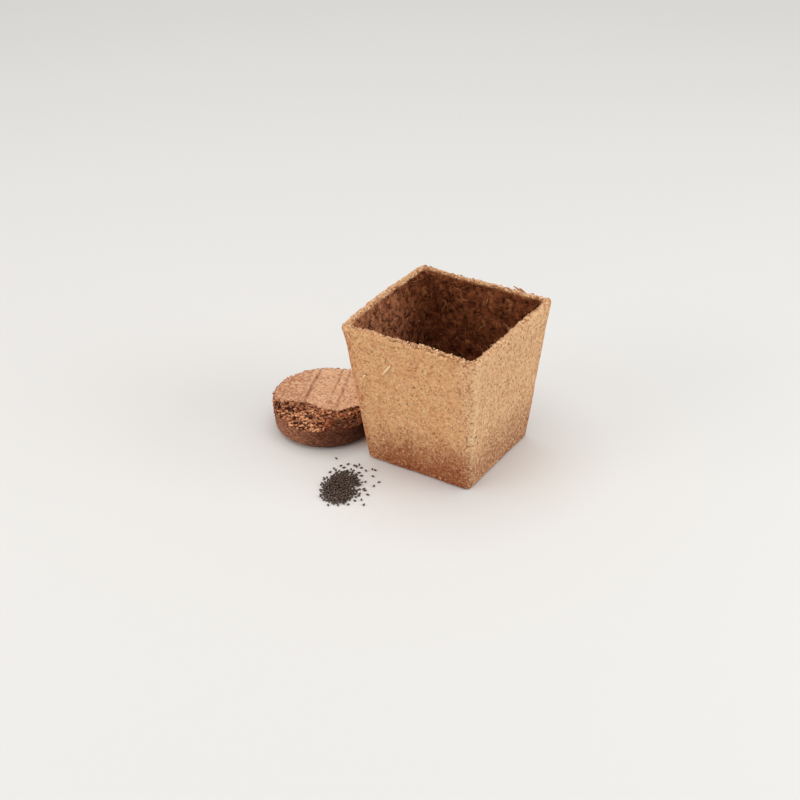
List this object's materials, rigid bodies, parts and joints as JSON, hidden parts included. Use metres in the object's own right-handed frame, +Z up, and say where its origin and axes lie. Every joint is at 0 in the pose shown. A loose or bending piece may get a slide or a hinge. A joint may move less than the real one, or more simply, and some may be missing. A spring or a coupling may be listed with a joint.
{
  "type": "peat pot",
  "caption": "Square tapered plant pot of pressed peat fibre, open at the top, with the loose pressed soil disc that goes into it and a small heap of seeds beside it.",
  "frame": {"origin": "middle of the pot's flat base, on the surface that it stands on", "axes": "+Z up through the pot's open top, X and Y square to its walls, -Y towards the wall that faces the viewer's left in the picture"},
  "size_m": [0.1403, 0.1218, 0.0827],
  "materials": {
    "pressed_peat": "matt pressed peat and wood fibre, speckled, with stray fibres",
    "pressed_soil": "matt pressed peat and coir, smooth where pressed and crumbly where broken",
    "seed_coat": "dark seed coat with a faint sheen"
  },
  "bodies": {
    "pot": {"pot": "pressed_peat", "seeds": "seed_coat"},
    "soil_disc": {"soil_disc": "pressed_soil"}
  },
  "joints": [
    {"name": "disc_lift", "type": "slide", "parent": "pot", "child": "soil_disc", "axis": [-0.1022, 0, 0.9948], "range_m": [0, 0.1]}
  ]
}
